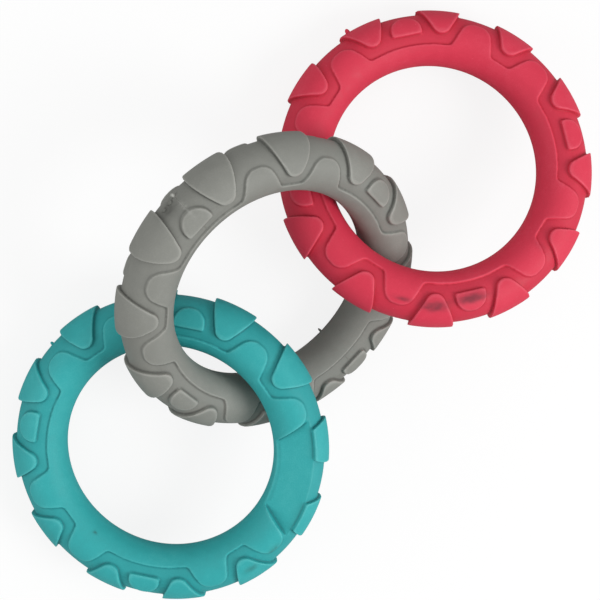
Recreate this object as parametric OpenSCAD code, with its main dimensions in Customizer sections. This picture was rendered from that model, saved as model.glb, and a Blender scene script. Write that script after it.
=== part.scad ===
// Rubber chew toy made of three linked rings, each with a tyre tread.
// The grey middle ring is closed round the other two and leans up on them.
// All three rings rest on the floor: z = 0 is the floor, z points up,
// x runs from the teal ring to the pink ring, origin under the middle.
// Lengths in millimetres, angles in degrees.

/* [Rings] */
// outside width of one ring, over the lugs
ring_od = 100; // [97:0.5:104]
// thickness of the bare tube of a ring
tube_d = 15.2; // [14.6:0.1:15.8]

/* [Tread] */
// lugs round one ring
lug_count = 12; // [12:1:12]
// height of the lugs above the bare tube
lug_h = 1.4; // [1.1:0.1:1.6]
// height of the inner cover, with its tabs, above the bare tube
cover_h = 0.7; // [0.5:0.05:0.9]
// height of the small blocks above the bare tube
block_h = 1.1; // [0.8:0.1:1.3]
// reach of a lug from the rim towards the hole
lug_len = 9.4; // [8.8:0.1:9.8]
// radius of the rounded lug tip
lug_tip_r = 3; // [2.6:0.1:3.2]
// slope of a lug side against the line to the ring centre
lug_angle = 31; // [29:1:33]
// width of the bare groove between lug and cover
groove_w = 3.2; // [2.8:0.1:3.4]
// reach of a cover tab beyond the lug tips, towards the rim
tab_reach = 5; // [4.4:0.1:5.2]
// corner radius of the tabs
tab_r = 4.3; // [3:0.1:4.4]
// corner radius in the bottom of the notches
notch_r = 1.6; // [0.8:0.1:1.8]
// width of a block along the ring
block_w = 9.6; // [8.8:0.1:9.8]
// depth of a block from its straight inner side to the rim side
block_depth = 6; // [5.6:0.1:6.4]
// corner radius of the blocks
block_r = 0.7; // [0.5:0.1:0.9]
// flat panel: reach from the tube's centre line towards the rim
panel_out = 4.5; // [4.2:0.1:4.8]
// flat panel: reach from the tube's centre line towards the hole
panel_in = 6.9; // [6.4:0.1:7.2]

/* [Linking] */
// clearance left between two rings where they cross
pass_gap = 0.4; // [0.35:0.05:0.8]
// spacing of pink and middle ring, as a share of the widest one
pink_share = 0.977; // [0.96:0.001:0.98]
// spacing of teal and middle ring, as a share of the widest one
teal_share = 0.936; // [0.92:0.001:0.95]
// direction of the teal ring in the middle ring's plane, from the pink one
teal_angle = -149.5; // [-152:0.5:-147]

/* [Turn of the tread] */
// turn of the pink ring about its own axis
pink_spin_angle = -38; // [-53:1:-23]
// turn of the teal ring about its own axis
teal_spin_angle = 95.5; // [80:0.5:110]
// turn of the middle ring about its own axis
grey_spin_angle = 0; // [-15:1:15]
// seam of the middle ring's two halves, from the lug before it
seam_angle = 14; // [13:0.5:14]

/* [Hidden] */
ARC = 96;
TUBE = 40;
STEPS = 4;
tube_r = tube_d / 2;
lug_r = tube_r + lug_h;
cover_r = tube_r + cover_h;
block_top_r = tube_r + block_h;
// radius of the centre line of a tube
ring_r = ring_od / 2 - lug_r;
pitch = 360 / lug_count;
// plan radii of the tread, from the ring centre
tip_rad = ring_od / 2 - lug_len;
tip_mid = tip_rad + lug_tip_r;
notch_rad = tip_rad - groove_w;
tab_rad = tip_rad + tab_reach;
rim_over = ring_od / 2 + lug_h;
through = 2 * (lug_r + lug_h);
// closest the two centre lines may come
cross_d = 2 * cover_r + pass_gap;

pink_dist = pink_share * (2 * ring_r - cross_d);
teal_dist = teal_share * (2 * ring_r - cross_d);

// block: share of its depth that the straight sides take
block_side_share = 0.3;

// Plan outlines of the tread. A lug points along local x.

function at(rad, ang) = [rad * cos(ang), rad * sin(ang)];
function turned(p, ang) = [
    p[0] * cos(ang) - p[1] * sin(ang),
    p[0] * sin(ang) + p[1] * cos(ang)
];
// half width of a lug, or of a notch when off includes the groove
function side_y(x, off) = off / cos(lug_angle) + (x - tip_mid) * tan(lug_angle);
// point on that sloped side at a given radius from the ring centre
function side_at(rad, off, k = 6, x = 0) =
    k == 0 ? [x, side_y(x, off)]
           : side_at(rad, off, k - 1, sqrt(max(0, rad * rad - pow(side_y(x == 0 ? rad : x, off), 2))));

// rounded corner at v between its neighbours p and q
function corner(p, v, q, r, steps) =
    let (a = (p - v) / norm(p - v),
         b = (q - v) / norm(q - v),
         half = acos(max(-1, min(1, a * b))) / 2,
         m = (a + b) / norm(a + b),
         mid = v + m * (r / sin(half)),
         s = v + a * (r / tan(half)) - mid,
         e = v + b * (r / tan(half)) - mid,
         sweep = 180 - 2 * half,
         way = s[0] * e[1] - s[1] * e[0] > 0 ? 1 : -1)
    [for (i = [0 : steps]) mid + turned(s, way * sweep * i / steps)];

// lug: round tip, straight sides, open end beyond the rim
function lug_plan() =
    let (x_end = rim_over,
         y_end = side_y(x_end, lug_tip_r))
    concat(
        [[x_end, -y_end]],
        [for (i = [-2 : 2])
            [tip_mid, 0] + lug_tip_r * [-cos(i * (90 - lug_angle) / 2), sin(i * (90 - lug_angle) / 2)]],
        [[x_end, y_end]]);

// block: straight inner side, arched outer side
function block_plan() =
    let (h = block_w / 2,
         x1 = tip_rad + block_depth * block_side_share,
         arch = block_depth * (1 - block_side_share),
         a = [tip_rad, h],
         foot = corner([tip_rad, 0], a, [x1, h], block_r, 2),
         half = concat(foot, [for (t = [75 : -25 : 0]) [x1 + arch * cos(t), h * sin(t)]]))
    concat(half, [for (i = [len(half) - 1 : -1 : 0]) if (half[i][1] > 0) [half[i][0], -half[i][1]]]);

// one half of a notch, from the lug's axis to the tab, on the side s
function notch_half(s) =
    let (off = lug_tip_r + groove_w,
         low = side_at(notch_rad, off),
         top = side_at(tab_rad, off),
         mid = at(notch_rad, 0),
         tab = at(tab_rad, pitch / 2),
         pts = concat(corner(mid, low, top, notch_r, 2), corner(low, top, tab, tab_r, STEPS)))
    s > 0 ? [for (p = pts) p] : [for (i = [len(pts) - 1 : -1 : 0]) [pts[i][0], -pts[i][1]]];

// notch side that runs on as a bare floor to the next lug
function floor_half(s) =
    let (n = 4,
         a0 = pitch / 2 / n)
    s > 0 ? [for (i = [1 : n]) at(notch_rad, a0 * i)] : [for (i = [n - 1 : -1 : 1]) at(notch_rad, -a0 * i)];

// wavy edge of the cover: a floor runs through every third gap
function cover_plan() = [
    for (k = [0 : lug_count - 1])
        for (p = concat(
                k % 3 == 1 ? floor_half(-1) : notch_half(-1),
                k % 3 == 0 ? floor_half(1) : notch_half(1)))
            turned(p, k * pitch)
];

// flat panel on one ring: from tab side to tab side, and on into the hole
function panel_plan() =
    let (off = lug_tip_r + groove_w,
         low = side_at(notch_rad, off),
         top = side_at(tab_rad, off),
         run = (top - low) / norm(top - low),
         side = [low - run * (groove_w + cover_r), side_at(rim_over, off)],
         far = [for (p = side) turned(p, pitch / 2)])
    concat(
        far,
        [for (i = [1 : -1 : -1]) at(rim_over, i * pitch / 2)],
        [for (i = [len(far) - 1 : -1 : 0]) [far[i][0], -far[i][1]]]);

// One ring in its own frame: centre at 0, axis along z.
module torus(r) {
    rotate_extrude($fn = ARC)
        translate([ring_r, 0])
            circle(r = r, $fn = TUBE);
}

module through_plan() {
    translate([0, 0, -through / 2])
        linear_extrude(height = through)
            children();
}

module over_panel() {
    rotate(pitch / 2)
        linear_extrude(height = through)
            polygon(panel_plan());
}

module lugs() {
    intersection() {
        torus(lug_r);
        through_plan()
            for (k = [0 : lug_count - 1])
                rotate(k * pitch)
                    polygon(lug_plan());
    }
}

module blocks(panel) {
    difference() {
        intersection() {
            torus(block_top_r);
            through_plan()
                for (k = [0 : 3 : lug_count - 1])
                    rotate((k + 0.5) * pitch)
                        polygon(block_plan());
        }
        if (panel)
            over_panel();
    }
}

module cover() {
    intersection() {
        torus(cover_r);
        through_plan()
            polygon(cover_plan());
    }
}

// what the flat panel takes off: all above a flat band across the tube,
// up to a wall that stands square on the tube and cuts the lugs short
module panel_cut() {
    edge = [panel_out, sqrt(tube_r * tube_r - panel_out * panel_out)];
    brim = [-panel_in, sqrt(cover_r * cover_r - panel_in * panel_in)];
    past = brim + (brim - edge) / norm(brim - edge) * lug_h;
    wall = edge * (lug_r + lug_h) / tube_r;
    top = lug_r + lug_h / 2;
    intersection() {
        rotate_extrude($fn = ARC)
            translate([ring_r, 0])
                polygon([edge, wall, [wall[0], top], [past[0], top], past]);
        over_panel();
    }
}

module tread_ring(panel = false) {
    difference() {
        union() {
            torus(tube_r);
            lugs();
            blocks(panel);
            cover();
        }
        if (panel)
            panel_cut();
    }
}

// Linked layout in the frame of the middle ring.
// Its centre is 0, its axis z, and x points to the pink ring's centre.

// half the fold between two crossed rings whose centre lines stay
// exactly cross_d apart at both crossings
function half_fold(d) =
    let (q = 4 * ring_r * ring_r - d * d + cross_d * cross_d)
    asin(sqrt((q - sqrt(q * q - pow(4 * ring_r * cross_d, 2))) / (8 * ring_r * ring_r)));

pink_fold = -2 * half_fold(pink_dist);
teal_fold = 2 * half_fold(teal_dist);

// each ring as [centre, local x, local y, axis, spin]
function posed(d, dir, fold, spin) =
    let (e = [cos(dir), sin(dir), 0],
         f = [-sin(dir), cos(dir), 0])
    [d * e, e, f * cos(fold) + [0, 0, sin(fold)], -f * sin(fold) + [0, 0, cos(fold)], spin];

RINGS = [
    posed(0, 0, 0, grey_spin_angle),
    posed(pink_dist, 0, pink_fold, pink_spin_angle),
    posed(teal_dist, teal_angle, teal_fold, teal_spin_angle)
];

// furthest a ring's lugs reach along a direction
function reach(ring, dir) =
    let (px = dir * ring[1],
         py = dir * ring[2],
         pz = dir * ring[3],
         s = sqrt(px * px + py * py),
         rad = ring_r + lug_r * s,
         half = asin(side_y(rad, lug_tip_r) / rad),
         a = atan2(py, px) - ring[4] + pitch / 2,
         off = abs(a - pitch * floor(a / pitch) - pitch / 2),
         miss = max(0, off - half),
         in = s * cos(miss))
    dir * ring[0] + ring_r * in + lug_r * sqrt(in * in + pz * pz);

function low(ring, up) = -reach(ring, -up);
function unit(v) = v / norm(v);
function with_z(p) = [p[0], p[1], sqrt(max(0, 1 - p[0] * p[0] - p[1] * p[1]))];
function lift(p) =
    let (up = with_z(p), g = low(RINGS[0], up))
    [low(RINGS[1], up) - g, low(RINGS[2], up) - g];
// direction of up in which all three rings are equally low
function settle(p, k) =
    k == 0 ? with_z(p) :
    let (h = 0.0005,
         f = lift(p),
         fx = (lift(p + [h, 0]) - f) / h,
         fy = (lift(p + [0, h]) - f) / h,
         det = fx[0] * fy[1] - fy[0] * fx[1],
         step = [f[0] * fy[1] - fy[0] * f[1], fx[0] * f[1] - f[0] * fx[1]] / det)
    settle(p - step, k - 1);

first = unit(RINGS[0][3] + RINGS[1][3] + RINGS[2][3]);
up = settle([first[0], first[1]], 9);
span = RINGS[1][0] - RINGS[2][0];
ex = unit(span - up * (span * up));
ey = cross(up, ex);

function most(dir) = max([for (r = RINGS) reach(r, dir)]);
mid_x = (most(ex) - most(-ex)) / 2;
mid_y = (most(ey) - most(-ey)) / 2;
floor_z = min([for (r = RINGS) low(r, up)]);

// turns of the middle ring's frame onto the floor frame
turn_y = -asin(up[0]);
turn_x = atan2(up[1], up[2]);
turn_z = atan2(ey[0], ex[0]);

module on_floor() {
    translate([-mid_x, -mid_y, -floor_z])
        rotate([turn_x, turn_y, turn_z])
            children();
}

module beside(d, dir, fold, spin) {
    on_floor()
        rotate(dir)
            translate([d, 0, 0])
                rotate([fold, 0, 0])
                    rotate(spin)
                        children();
}

module grey_half(side) {
    size = ring_od + 4 * lug_r;
    on_floor()
        rotate(grey_spin_angle)
            intersection() {
                tread_ring();
                rotate(seam_angle)
                    translate([side > 0 ? 0 : -size, -size / 2, -size / 2])
                        cube(size);
            }
}

module pink_ring() {
    color([0.84, 0.22, 0.31])
        beside(pink_dist, 0, pink_fold, pink_spin_angle)
            tread_ring();
}

module teal_ring() {
    color([0.24, 0.7, 0.71])
        beside(teal_dist, teal_angle, teal_fold, teal_spin_angle)
            tread_ring(panel = true);
}

module grey_half_pink_side() {
    color([0.57, 0.57, 0.54])
        grey_half(1);
}

module grey_half_teal_side() {
    color([0.5, 0.5, 0.47])
        grey_half(-1);
}

pink_ring();
teal_ring();
grey_half_pink_side();
grey_half_teal_side();
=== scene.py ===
import math

import bpy
from mathutils import Matrix, Vector, noise


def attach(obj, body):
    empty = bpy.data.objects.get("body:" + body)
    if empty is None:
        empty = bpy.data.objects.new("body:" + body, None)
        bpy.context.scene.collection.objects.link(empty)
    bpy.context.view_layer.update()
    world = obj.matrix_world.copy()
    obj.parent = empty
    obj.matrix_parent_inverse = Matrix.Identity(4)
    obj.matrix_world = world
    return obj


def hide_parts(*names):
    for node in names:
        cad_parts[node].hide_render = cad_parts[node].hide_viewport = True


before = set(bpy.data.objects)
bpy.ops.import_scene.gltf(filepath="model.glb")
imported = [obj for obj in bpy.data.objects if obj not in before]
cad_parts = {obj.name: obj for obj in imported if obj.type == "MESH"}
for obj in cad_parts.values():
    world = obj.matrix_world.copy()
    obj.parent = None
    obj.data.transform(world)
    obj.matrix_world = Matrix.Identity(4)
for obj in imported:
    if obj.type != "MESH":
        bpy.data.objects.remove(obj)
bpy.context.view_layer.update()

# Sizes of one ring, in metres, as in the solids.
# Radii of the tube and of what is raised on it, from the tube's centre line.
RING_R = 0.041
BARE_R = 0.0076
COVER_R = 0.0083
BLOCK_R = 0.0087
LUG_R = 0.009
# The tread in plan: radii from the middle of the ring, and its shapes.
RIM = 0.05
PITCH = 30
LUG_COUNT = 360 // PITCH
TIP = 0.0406
TIP_ROUND = 0.003
SLOPE_DEGREES = 31
SLOPE = math.radians(SLOPE_DEGREES)
GROOVE = 0.0032
NOTCH = TIP - GROOVE
NOTCH_ROUND = 0.0016
TAB = TIP + 0.005
TAB_ROUND = 0.0043
# The tabs on the back face reach nearer to the rim than in the solids.
BACK_TAB = TIP + 0.0069
BACK_TAB_ROUND = 0.0027
BLOCK_HALF = 0.0048
BLOCK_SIDE = TIP + 0.0018
BLOCK_ARCH = 0.0042
BLOCK_ROUND = 0.0007
# Flat panel: reach from the tube's centre line to the rim and to the hole.
PANEL_OUT = 0.0045
PANEL_IN = 0.0069

# How far cutting shapes run past what they cut.
OVER = 0.0014
FAR = RIM + OVER
PLATE_HALF = 0.011
FRONT_LOW = -0.001

# Fineness of round shapes: steps round a ring, a tube and rounded corners.
RING_STEPS = 360
TUBE_STEPS = 72
TIP_STEPS = 8
FLOOR_STEPS = 4
ARCH_DEGREES = range(84, 0, -12)
SIDE_TRIES = 8
WELD = 0.000001

# Fineness of the moulded skin, how far its edges are softened, how much
# flatter the copy is that shows the relief, and the triangles that stay.
GRAIN = 0.00025
SOFTEN = 7
RELIEF_SMOOTHING = 64
MOST_TRIANGLES = 188000

# Where each ring lies: centre, and turns about x, y and z in degrees.
PLACES = {
    "pink": ((0.0598532, -0.0049516, 0.0215252), (-17.1068, -5.4951, -49.4690)),
    "teal": ((-0.0600977, -0.0049516, 0.0194685), (7.2082, -12.9525, -72.3607)),
    "grey": ((-0.0016354, 0.0094619, 0.0281809), (27.5566, 6.0160, -13.1925)),
}

# Handling marks on each ring: degrees round the ring and round the tube,
# length along the ring, width, strength. A strength below zero is darker dirt.
SCUFFS = {
    "pink": [
        (-90.3, 67, 0.0034, 0.0014, 2.6),
        (-75, 77, 0.0044, 0.0013, 2.2),
        (-103, 71, 0.0026, 0.0007, 1.2),
        (-37, 93, 0.0012, 0.0030, 0.4),
    ],
    "teal": [
        (-28.7, 64, 0.0020, 0.0010, 1.8),
        (-17, 60, 0.0024, 0.0010, 0.9),
        (-105.2, 132, 0.0006, 0.0005, 1.6),
    ],
    "grey": [
        (104, -4, 0.0006, 0.0010, 0.9),
        (104, 28, 0.0003, 0.0040, 0.6),
        (108, 12, 0.0030, 0.0026, -1.3),
    ],
}
# A mark fades out within this many of its lengths, and its edge is ragged.
SCUFF_REACH = 4
RAGGED_SCALE = 900

# Moulding nubs: degrees round the ring and round the tube, distance of the
# middle from the tube's centre line, half width, half height.
NUBS = {
    "pink": [(124.5, 8, 0.0090, 0.00075, 0.0013)],
    "teal": [
        (163.7, 2, 0.0077, 0.00050, 0.0008),
        (112.7, -12, 0.0078, 0.00045, 0.0009),
    ],
    "grey": [
        (104.0, -5, 0.0079, 0.00075, 0.0009),
        (106.4, 0, 0.0077, 0.00090, 0.0006),
        (109.5, 2, 0.0076, 0.00080, 0.0005),
        (-75.6, -140, 0.0084, 0.00040, 0.0011),
    ],
}

# Bonding seams of the grey ring: degrees round it, how far the line's middle
# stands above the bare tube, and half the line's width.
SEAMS = (104, 284)
SEAM_ABOVE = 0.00002
SEAM_HALF = 0.00011


# Plan outlines of the tread. A lug points along local x.

def at(rad, deg):
    a = math.radians(deg)
    return Vector((rad * math.cos(a), rad * math.sin(a)))


def turned(p, deg):
    return Matrix.Rotation(math.radians(deg), 2) @ p


def side_y(x, off):
    """Half width of a lug, or of a notch when off includes the groove."""
    return off / math.cos(SLOPE) + (x - TIP - TIP_ROUND) * math.tan(SLOPE)


def side_at(rad, off):
    """Point at a radius on the sloped side of a lug, or of a notch."""
    x = rad
    for _ in range(SIDE_TRIES):
        x = math.sqrt(rad * rad - side_y(x, off) ** 2)
    return Vector((x, side_y(x, off)))


def corner(p, v, q, r, steps):
    """Points of a rounded corner at v, between its neighbours p and q."""
    a, b = (p - v).normalized(), (q - v).normalized()
    half = a.angle(b) / 2
    mid = v + (a + b).normalized() * (r / math.sin(half))
    s = v + a * (r / math.tan(half)) - mid
    e = v + b * (r / math.tan(half)) - mid
    sweep = math.copysign(180 - math.degrees(2 * half), s.x * e.y - s.y * e.x)
    return [mid + turned(s, sweep * i / steps) for i in range(steps + 1)]


def mirrored(points):
    return [Vector((p.x, -p.y)) for p in reversed(points)]


def lug_plan():
    """Lug: round tip, straight sides, open end beyond the rim."""
    middle = Vector((TIP + TIP_ROUND, 0))
    turns = [math.radians(i * (90 - SLOPE_DEGREES) / TIP_STEPS)
             for i in range(-TIP_STEPS, TIP_STEPS + 1)]
    tip = [middle + TIP_ROUND * Vector((-math.cos(a), math.sin(a))) for a in turns]
    half_end = side_y(FAR, TIP_ROUND)
    return [Vector((FAR, -half_end))] + tip + [Vector((FAR, half_end))]


def block_plan():
    """Block: straight inner side, arched outer side."""
    half = corner(Vector((TIP, 0)), Vector((TIP, BLOCK_HALF)),
                  Vector((BLOCK_SIDE, BLOCK_HALF)), BLOCK_ROUND, 4)
    half += [Vector((BLOCK_SIDE + BLOCK_ARCH * math.cos(t), BLOCK_HALF * math.sin(t)))
             for t in [math.radians(a) for a in ARCH_DEGREES]]
    return half + mirrored(half)


def notch_half(tab, tab_round):
    """Edge of the cover from the middle of a notch to the middle of a tab."""
    low = side_at(NOTCH, TIP_ROUND + GROOVE)
    top = side_at(tab, TIP_ROUND + GROOVE)
    return (corner(at(NOTCH, 0), low, top, NOTCH_ROUND, 5)
            + corner(low, top, at(tab, PITCH / 2), tab_round, 10))


def floor_half():
    """Edge of the cover that runs on, bare, to the middle between two lugs."""
    step = PITCH / 2 / FLOOR_STEPS
    return [at(NOTCH, step * i) for i in range(1, FLOOR_STEPS + 1)]


def cover_plan(tab, tab_round):
    """Wavy edge of the cover: a bare floor runs through every third gap."""
    edge = []
    half = notch_half(tab, tab_round)
    for k in range(LUG_COUNT):
        before = mirrored(floor_half()[:-1]) if k % 3 == 1 else mirrored(half)
        after = floor_half() if k % 3 == 0 else half
        edge += [turned(p, k * PITCH) for p in before + after]
    return edge


def panel_plan():
    """Flat panel: from tab side to tab side, and on into the hole."""
    low = side_at(NOTCH, TIP_ROUND + GROOVE)
    top = side_at(TAB, TIP_ROUND + GROOVE)
    hole = low - (top - low).normalized() * (GROOVE + COVER_R)
    side = [turned(p, PITCH / 2) for p in (hole, side_at(FAR, TIP_ROUND + GROOVE))]
    return side + [at(FAR, a) for a in (PITCH / 2, 0, -PITCH / 2)] + mirrored(side)


def panel_band():
    """Section of what the panel takes off, seen along the tube."""
    edge = Vector((PANEL_OUT, math.sqrt(BARE_R ** 2 - PANEL_OUT ** 2)))
    brim = Vector((-PANEL_IN, math.sqrt(COVER_R ** 2 - PANEL_IN ** 2)))
    past = brim + (brim - edge).normalized() * OVER
    wall = edge * ((LUG_R + OVER) / BARE_R)
    top = LUG_R + OVER / 2
    return [edge, wall, Vector((wall.x, top)), Vector((past.x, top)), past]


# Modelling steps.

def nothing_selected():
    bpy.ops.object.select_all(action="DESELECT")


def only(*objs):
    """Object mode, with these alone selected and the first one active."""
    if bpy.context.object and bpy.context.object.mode != "OBJECT":
        bpy.ops.object.mode_set(mode="OBJECT")
    nothing_selected()
    for o in objs:
        o.select_set(True)
    bpy.context.view_layer.objects.active = objs[0]


def named(name):
    o = bpy.context.object
    o.name = name
    o.data.name = name
    return o


def fixed(o):
    """Move a piece's place, turn and scale into its mesh."""
    bpy.ops.object.transform_apply(location=True, rotation=True, scale=True)
    return o


def tube(name, r):
    nothing_selected()
    bpy.ops.mesh.primitive_torus_add(major_radius=RING_R, minor_radius=r,
                                     major_segments=RING_STEPS, minor_segments=TUBE_STEPS)
    return named(name)


def outline(name, points, fill, low=0.0):
    """A closed outline: a flat circle with its corners pulled to the points."""
    nothing_selected()
    bpy.ops.mesh.primitive_circle_add(vertices=len(points), radius=RING_R,
                                      fill_type=fill, location=(0, 0, low))
    o = fixed(named(name))
    for v, p in zip(o.data.vertices, points):
        v.co = (p.x, p.y, low)
    return o


def plate(name, points, low, high):
    """A plan outline, drawn as a filled loop and extruded between two heights."""
    o = outline(name, points, "NGON", low)
    bpy.ops.object.mode_set(mode="EDIT")
    bpy.ops.mesh.select_all(action="SELECT")
    bpy.ops.mesh.extrude_region_move(TRANSFORM_OT_translate={"value": (0, 0, high - low)})
    bpy.ops.mesh.select_all(action="SELECT")
    bpy.ops.mesh.normals_make_consistent(inside=False)
    bpy.ops.object.mode_set(mode="OBJECT")
    return o


def band(name, section):
    """A section of the tube, stood up and spun round the ring's axis."""
    o = outline(name, section, "NOTHING")
    for v, p in zip(o.data.vertices, section):
        v.co = (RING_R + p.x, 0, p.y)
    bpy.ops.object.mode_set(mode="EDIT")
    bpy.ops.mesh.select_all(action="SELECT")
    bpy.ops.mesh.spin(steps=RING_STEPS, angle=2 * math.pi, center=(0, 0, 0), axis=(0, 0, 1))
    bpy.ops.mesh.select_all(action="SELECT")
    bpy.ops.mesh.remove_doubles(threshold=WELD)
    bpy.ops.mesh.normals_make_consistent(inside=False)
    bpy.ops.object.mode_set(mode="OBJECT")
    return o


def copy_of(o, name):
    only(o)
    bpy.ops.object.duplicate()
    return named(name)


def gone(o):
    only(o)
    bpy.ops.object.delete()


def spun(o, deg):
    """Turn a piece about the ring's axis, in its mesh."""
    only(o)
    o.rotation_euler = (0, 0, math.radians(deg))
    return fixed(o)


def joined(name, *objs):
    only(*objs)
    bpy.ops.object.join()
    return named(name)


def finished(o, kind, **values):
    """Give a piece one modifier and apply it."""
    only(o)
    m = o.modifiers.new(kind.lower(), kind)
    for key, value in values.items():
        setattr(m, key, value)
    bpy.ops.object.modifier_apply(modifier=m.name)
    return o


def cut(o, tool, how, keep=False):
    """Cut a piece with a tool, which goes unless it is kept for more cuts."""
    finished(o, "BOOLEAN", operation=how, solver="EXACT", object=tool)
    if not keep:
        gone(tool)
    return o


def without(o, name, tool):
    """A copy of a piece with the tool's shape taken off."""
    return cut(copy_of(o, name), tool, "DIFFERENCE", keep=True)


def around(o, name, places):
    """Copies of one piece, each turned to its own place round the ring."""
    made = [spun(copy_of(o, name + "_%d" % i), deg) for i, deg in enumerate(places)]
    gone(o)
    return joined(name, *made)


def height(p):
    """Distance of a point of a ring from the centre line of its tube."""
    return math.hypot(math.hypot(p[0], p[1]) - RING_R, p[2])


def paint(o, name, values):
    """Store one number for each point of the mesh, for the rubber to read."""
    layer = o.data.attributes.new(name, "FLOAT", "POINT")
    layer.data.foreach_set("value", values)


def paint_relief(o):
    """Mark raised edges above zero and step feet below, against a flatter copy."""
    flat = finished(copy_of(o, "flatter"), "SMOOTH", factor=0.5, iterations=RELIEF_SMOOTHING)
    paint(o, "relief", [(v.co - w.co).dot(v.normal) * 1000
                        for v, w in zip(o.data.vertices, flat.data.vertices)])
    gone(flat)


def moulded(o):
    """Melt the joined solids into one skin with soft mould edges."""
    finished(o, "REMESH", mode="VOXEL", voxel_size=GRAIN, use_smooth_shade=True)
    finished(o, "SMOOTH", factor=0.5, iterations=SOFTEN)
    paint_relief(o)
    count = sum(len(p.vertices) - 2 for p in o.data.polygons)
    finished(o, "DECIMATE", ratio=min(1.0, MOST_TRIANGLES / count))
    bpy.ops.object.shade_smooth()
    return o


def on_tube(deg, tube_deg, r):
    """Point of a ring, from the angle round it and the angle round its tube."""
    a, t = math.radians(deg), math.radians(tube_deg)
    reach = RING_R + r * math.cos(t)
    return Vector((reach * math.cos(a), reach * math.sin(a), r * math.sin(t)))


def nub(deg, tube_deg, r, wide, tall):
    """A little stub left where the mould was filled."""
    spot = on_tube(deg, tube_deg, r)
    lean = (on_tube(deg, tube_deg, 2 * r) - spot).to_track_quat("Z", "Y").to_euler()
    nothing_selected()
    bpy.ops.mesh.primitive_uv_sphere_add(segments=24, ring_count=16, location=spot, rotation=lean)
    o = named("nub")
    o.scale = (wide, wide, tall)
    return fixed(o)


def seam(deg):
    """The fine line round the tube where two halves are bonded."""
    a = math.radians(deg)
    nothing_selected()
    bpy.ops.mesh.primitive_torus_add(
        location=(RING_R * math.cos(a), RING_R * math.sin(a), 0), rotation=(math.pi / 2, 0, a),
        major_radius=BARE_R + SEAM_ABOVE, minor_radius=SEAM_HALF,
        major_segments=96, minor_segments=8)
    return fixed(named("seam"))


def paint_scuffs(o, marks):
    """Soft smudges at the places where the ring was rubbed."""
    spots = []
    for deg, tube_deg, long, wide, strength in marks:
        a = math.radians(deg)
        along = Vector((-math.sin(a), math.cos(a), 0))
        spots.append((on_tube(deg, tube_deg, COVER_R), along, long, wide, strength))
    values = []
    for v in o.data.vertices:
        total = 0.0
        for p, along, long, wide, strength in spots:
            d = v.co - p
            if d.length < SCUFF_REACH * max(long, wide):
                run = d.dot(along)
                off = (d - run * along).length
                ragged = 0.75 + 0.5 * noise.noise(v.co * RAGGED_SCALE)
                total += strength * ragged * math.exp(-(run / long) ** 2 - (off / wide) ** 2)
        values.append(max(-1.0, min(1.0, total)))
    paint(o, "scuff", values)


def paint_raised(o):
    """Mark the bare tube and the flat panel with 0 and the cover with 1."""
    paint(o, "raised", [abs(height(v.co) - BARE_R) / (COVER_R - BARE_R)
                        for v in o.data.vertices])


def in_radians(degrees):
    return [math.radians(a) for a in degrees]


def placed(o, ring):
    """Lay a finished ring where it lies on the floor."""
    only(o)
    spot, turns = PLACES[ring]
    o.location = spot
    o.rotation_euler = in_radians(turns)
    return fixed(o)


# The three rings.

lugs = around(plate("lug_plan", lug_plan(), -PLATE_HALF, PLATE_HALF), "lugs",
              range(0, 360, PITCH))
lugs = cut(tube("lug_tube", LUG_R), lugs, "INTERSECT")
blocks = around(plate("block_plan", block_plan(), -PLATE_HALF, PLATE_HALF), "blocks",
                range(PITCH // 2, 360, 3 * PITCH))
blocks = cut(tube("block_tube", BLOCK_R), blocks, "INTERSECT")
front = cut(tube("cover_tube", COVER_R),
            plate("front_plan", cover_plan(TAB, TAB_ROUND), FRONT_LOW, PLATE_HALF),
            "INTERSECT")
back = cut(tube("back_tube", COVER_R),
           plate("back_plan", cover_plan(BACK_TAB, BACK_TAB_ROUND), -PLATE_HALF, 0),
           "INTERSECT")
bare = tube("bare_tube", BARE_R)

over_panel = spun(plate("over_panel", panel_plan(), 0, PLATE_HALF), PITCH / 2)
panel_cut = cut(band("panel_band", panel_band()), over_panel, "INTERSECT", keep=True)
teal = moulded(joined("teal_tyre_ring",
                      without(bare, "panel_tube", panel_cut),
                      without(lugs, "panel_lugs", panel_cut),
                      without(front, "panel_cover", panel_cut),
                      copy_of(back, "panel_back"),
                      without(blocks, "panel_blocks", over_panel)))
gone(panel_cut)
gone(over_panel)
pink = moulded(joined("pink_tyre_ring", bare, lugs, front, back, blocks))
grey = copy_of(pink, "grey_tyre_ring")
pink = joined("pink_tyre_ring", pink, *[nub(*n) for n in NUBS["pink"]])
teal = joined("teal_tyre_ring", teal, *[nub(*n) for n in NUBS["teal"]])
grey = joined("grey_tyre_ring", grey, *[nub(*n) for n in NUBS["grey"]],
              *[seam(a) for a in SEAMS])
for ring, o in (("pink", pink), ("teal", teal), ("grey", grey)):
    only(o)
    bpy.ops.object.shade_smooth()
    paint_scuffs(o, SCUFFS[ring])
    paint_raised(o)
    placed(o, ring)

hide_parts("pink_ring")
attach(pink, "pink_end")
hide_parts("teal_ring")
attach(teal, "teal_end")
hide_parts("grey_half_pink_side", "grey_half_teal_side")
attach(grey, "middle")


# Rubber.

def srgb(r, g, b):
    """A screen colour, 0 to 255, as the light values that Blender mixes."""
    return tuple(((c / 255 + 0.055) / 1.055) ** 2.4 if c > 10 else c / 255 / 12.92
                 for c in (r, g, b)) + (1,)


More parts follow.
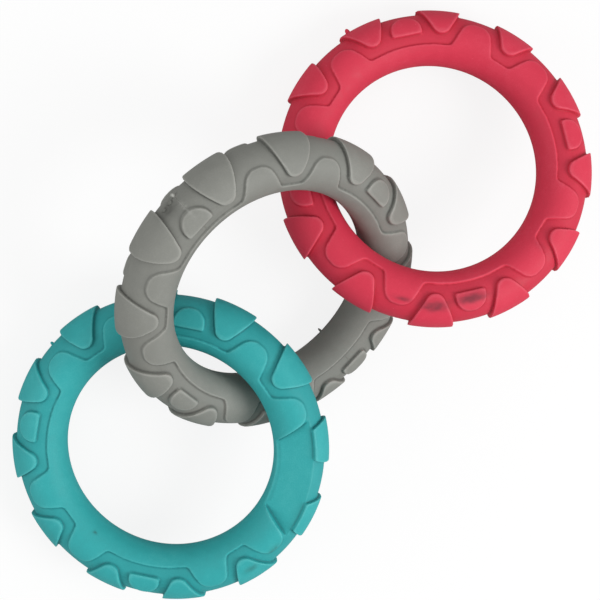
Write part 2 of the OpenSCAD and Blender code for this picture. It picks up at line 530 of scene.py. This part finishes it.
# Each rubber: its colour, the paler tone of the painted highlight on edges,
# the deeper tone of the painted shade in channels and feet, the colour of
# handling marks, and how strongly each one shows.
RUBBERS = {
    "pink_rubber": {
        "Colour": srgb(215, 50, 76), "Pale": srgb(238, 112, 130), "Deep": srgb(174, 14, 42),
        "Smudge": srgb(132, 40, 56),
        "Edge": 0.26, "Foot": 0.8, "Channel": 0.3, "Mottle": 0.2, "Dust": 0.25,
    },
    "teal_rubber": {
        "Colour": srgb(46, 168, 170), "Pale": srgb(108, 210, 208), "Deep": srgb(0, 110, 115),
        "Smudge": srgb(44, 108, 104),
        "Edge": 0.26, "Foot": 0.75, "Channel": 0.2, "Mottle": 0.2, "Dust": 0.15,
    },
    "grey_rubber": {
        "Colour": srgb(135, 136, 130), "Pale": srgb(186, 186, 179), "Deep": srgb(84, 85, 80),
        "Smudge": srgb(200, 200, 194),
        "Edge": 0.34, "Foot": 0.8, "Channel": 0.12, "Mottle": 0.16, "Dust": 0.2,
    },
}


def feed(tree, socket, value):
    """Set a socket to a constant, or link it to another node's output."""
    if isinstance(value, bpy.types.NodeSocket):
        tree.links.new(value, socket)
    else:
        socket.default_value = value


def rubber_skin():
    """Soft moulded rubber: mottled, dusty, paler on edges (painted highlight) and darker in
    channels and step feet (painted shade).
    """
    group = bpy.data.node_groups.new("rubber_skin", "ShaderNodeTree")
    sockets = group.interface
    for name in ("Colour", "Pale", "Deep", "Smudge"):
        sockets.new_socket(name, in_out="INPUT", socket_type="NodeSocketColor")
    for name in ("Edge", "Foot", "Channel", "Mottle", "Dust"):
        sockets.new_socket(name, in_out="INPUT", socket_type="NodeSocketFloat")
    sockets.new_socket("Colour", in_out="OUTPUT", socket_type="NodeSocketColor")
    sockets.new_socket("Roughness", in_out="OUTPUT", socket_type="NodeSocketFloat")
    sockets.new_socket("Height", in_out="OUTPUT", socket_type="NodeSocketFloat")
    add = group.nodes.new
    given, out = add("NodeGroupInput").outputs, add("NodeGroupOutput").inputs
    where = add("ShaderNodeTexCoord").outputs["Object"]

    def speckle(scale, detail, rough=0.5):
        node = add("ShaderNodeTexNoise")
        node.inputs["Scale"].default_value = scale
        node.inputs["Detail"].default_value = detail
        node.inputs["Roughness"].default_value = rough
        feed(group, node.inputs["Vector"], where)
        return node.outputs["Fac"]

    def worked(how, a, b, clamp=False):
        """Two values added, multiplied or compared."""
        node = add("ShaderNodeMath")
        node.operation, node.use_clamp = how, clamp
        feed(group, node.inputs[0], a)
        feed(group, node.inputs[1], b)
        return node.outputs[0]

    def times(a, b, clamp=False):
        return worked("MULTIPLY", a, b, clamp)

    def spread(v, low, high, to_low=0.0, to_high=1.0):
        """A value eased from one range to another."""
        node = add("ShaderNodeMapRange")
        node.interpolation_type = "SMOOTHSTEP"
        for socket, value in (("From Min", low), ("From Max", high), ("To Min", to_low),
                              ("To Max", to_high), ("Value", v)):
            feed(group, node.inputs[socket], value)
        return node.outputs["Result"]

    def tint(share, a, b):
        """Colour a with a share of colour b mixed in."""
        node = add("ShaderNodeMix")
        node.data_type = "RGBA"
        feed(group, node.inputs["Factor"], share)
        feed(group, node.inputs[6], a)
        feed(group, node.inputs[7], b)
        return node.outputs[2]

    def painted(name):
        node = add("ShaderNodeAttribute")
        node.attribute_type, node.attribute_name = "GEOMETRY", name
        return node.outputs["Fac"]

    broad, patch, fine = speckle(45, 3), speckle(320, 4, 0.6), speckle(2600, 2)
    relief, scuff, raised = painted("relief"), painted("scuff"), painted("raised")
    pale, deep = given["Pale"], given["Deep"]

    # Dust: small round flecks in a few of many cells.
    cells = add("ShaderNodeTexVoronoi")
    cells.inputs["Scale"].default_value = 420
    feed(group, cells.inputs["Vector"], where)
    rare = add("ShaderNodeSeparateColor")
    feed(group, rare.inputs["Color"], cells.outputs["Color"])
    fleck = times(spread(cells.outputs["Distance"], 0.10, 0.04),
                  spread(rare.outputs["Red"], 0.86, 0.9))

    # Mottle, towards the pale tone above zero and the deep one below.
    tone = worked("ADD", times(spread(broad, 0.3, 0.7, -0.5, 0.5), 0.5),
                  worked("ADD", spread(patch, 0.25, 0.75, -0.3, 0.3),
                         spread(fine, 0.2, 0.8, -0.28, 0.28)))
    tone = times(tone, given["Mottle"])
    colour = tint(worked("MAXIMUM", tone, 0, True), given["Colour"], pale)
    colour = tint(times(worked("MINIMUM", tone, 0), -1, True), colour, deep)

    # Painted shade in the channels, painted highlight with some rubbed wear on edges, painted
    # shade in step feet, then dust and handling marks.
    # Painted shade: the bare channels and the flat panel, lower than the cover, turn towards the
    # deep tone.
    colour = tint(times(spread(raised, 0.6, 0.15), given["Channel"]), colour, deep)
    # Painted highlight on raised edges, broken up by noise; the same mask also makes the edges a
    # little less rough, as rubbing would.
    rubbed_and_highlit = times(spread(relief, 0.04, 0.2), spread(patch, 0.2, 0.65, 0.55, 1.0))
    colour = tint(times(rubbed_and_highlit, given["Edge"], True), colour, pale)
    # Painted shade: the feet of the steps turn towards the deep tone.
    colour = tint(times(spread(relief, -0.015, -0.2), given["Foot"], True), colour, deep)
    colour = tint(times(fleck, given["Dust"], True), colour, pale)
    dirt = spread(patch, 0.25, 0.7, 0.6, 1.0)
    colour = tint(times(scuff, dirt, True), colour, given["Smudge"])
    colour = tint(times(times(scuff, -1), dirt, True), colour, deep)

    feed(group, out["Colour"], colour)
    feed(group, out["Roughness"],
         worked("ADD", spread(patch, 0.3, 0.7, 0.56, 0.7), times(rubbed_and_highlit, -0.08)))
    feed(group, out["Height"], worked("ADD", times(fine, 0.5), times(patch, 0.6)))
    return group


def rubber(name, skin):
    """One rubber's material, from the shared skin and its own colours."""
    mat = bpy.data.materials.new(name)
    mat.use_nodes = True
    tree = mat.node_tree
    bsdf = tree.nodes["Principled BSDF"]
    bsdf.inputs["Specular IOR Level"].default_value = 0.4
    finish = tree.nodes.new("ShaderNodeGroup")
    finish.node_tree = skin
    for socket, value in RUBBERS[name].items():
        finish.inputs[socket].default_value = value
    bump = tree.nodes.new("ShaderNodeBump")
    bump.inputs["Strength"].default_value = 0.5
    bump.inputs["Distance"].default_value = 0.00012
    feed(tree, bsdf.inputs["Base Color"], finish.outputs["Colour"])
    feed(tree, bsdf.inputs["Roughness"], finish.outputs["Roughness"])
    feed(tree, bump.inputs["Height"], finish.outputs["Height"])
    feed(tree, bsdf.inputs["Normal"], bump.outputs["Normal"])
    return mat


rubber_look = rubber_skin()
for o, name in ((pink, "pink_rubber"), (teal, "teal_rubber"), (grey, "grey_rubber")):
    o.data.materials.clear()
    o.data.materials.append(rubber(name, rubber_look))


# Floor, light and camera.

# For each: what the camera sees beyond what the light gets, and what it gets.
FLOOR_WHITE = (0.85, 0.0)
FLOOR_TONE = (0.42, 0.5)
SKY_LEVEL = (0.48, 0.52)

CAMERA_SPOT = (0.006839, 0.115108, 0.473324)
CAMERA_TURNS = (-10.5851, -10.1570, -46.0148)

# Softboxes: how far to the camera's right, above and behind, size, watts.
SOFTBOXES = {
    "key": (0.75, -0.3, 0.5, 0.5, 5.2),
    "fill": (0.2, 0.45, 0.9, 0.8, 1.0),
    "side_fill": (-0.65, -0.15, 0.5, 0.6, 1.6),
}
LIT_SPOT = Vector((0, 0, 0.02))


def camera_level(tree, more, level):
    """A level for all rays, and more of it for the camera's own."""
    path = tree.nodes.new("ShaderNodeLightPath")
    node = tree.nodes.new("ShaderNodeMath")
    node.operation = "MULTIPLY_ADD"
    feed(tree, node.inputs[0], path.outputs["Is Camera Ray"])
    node.inputs[1].default_value = more
    node.inputs[2].default_value = level
    return node.outputs[0]


def white_paper():
    """Plain paper that looks nearly white and still takes the shadow."""
    mat = bpy.data.materials.new("pale_floor")
    mat.use_nodes = True
    tree = mat.node_tree
    paper = tree.nodes["Principled BSDF"]
    paper.inputs["Roughness"].default_value = 1.0
    paper.inputs["Specular IOR Level"].default_value = 0.0
    feed(tree, paper.inputs["Base Color"], camera_level(tree, *FLOOR_TONE))
    glow = tree.nodes.new("ShaderNodeEmission")
    glow.inputs["Color"].default_value = (1, 1, 1, 1)
    glow.inputs["Strength"].default_value = 1.0
    white = tree.nodes.new("ShaderNodeMixShader")
    feed(tree, white.inputs["Fac"], camera_level(tree, *FLOOR_WHITE))
    feed(tree, white.inputs[1], paper.outputs[0])
    feed(tree, white.inputs[2], glow.outputs[0])
    feed(tree, tree.nodes["Material Output"].inputs["Surface"], white.outputs[0])
    return mat


def softbox(name, spot, size, power):
    bpy.ops.object.light_add(type="AREA", location=spot)
    lamp = bpy.context.object
    lamp.name = name
    lamp.data.shape = "DISK"
    lamp.data.size = size
    lamp.data.energy = power
    lamp.rotation_euler = (LIT_SPOT - Vector(spot)).to_track_quat("-Z", "Y").to_euler()


nothing_selected()
bpy.ops.mesh.primitive_plane_add(size=4, location=(0, 0, 0))
floor = named("pale_floor")
floor.data.materials.append(white_paper())

world = bpy.context.scene.world or bpy.data.worlds.new("studio")
bpy.context.scene.world = world
world.use_nodes = True
sky = world.node_tree.nodes["Background"]
sky.inputs["Color"].default_value = (1, 1, 1, 1)
feed(world.node_tree, sky.inputs["Strength"], camera_level(world.node_tree, *SKY_LEVEL))

bpy.ops.object.camera_add(location=CAMERA_SPOT, rotation=in_radians(CAMERA_TURNS))
camera = bpy.context.object
camera.name = "camera"
camera.data.lens = 90
camera.data.sensor_width = 36
camera.data.sensor_fit = "HORIZONTAL"
camera.data.clip_start = 0.01
bpy.context.scene.camera = camera

right, upward, back_way = (camera.matrix_basis.to_3x3() @ Vector(v)
                           for v in ((1, 0, 0), (0, 1, 0), (0, 0, 1)))
for name, (aside, above, behind, size, power) in SOFTBOXES.items():
    softbox(name, right * aside + upward * above + back_way * behind, size, power)

bpy.context.scene.view_settings.view_transform = "Standard"
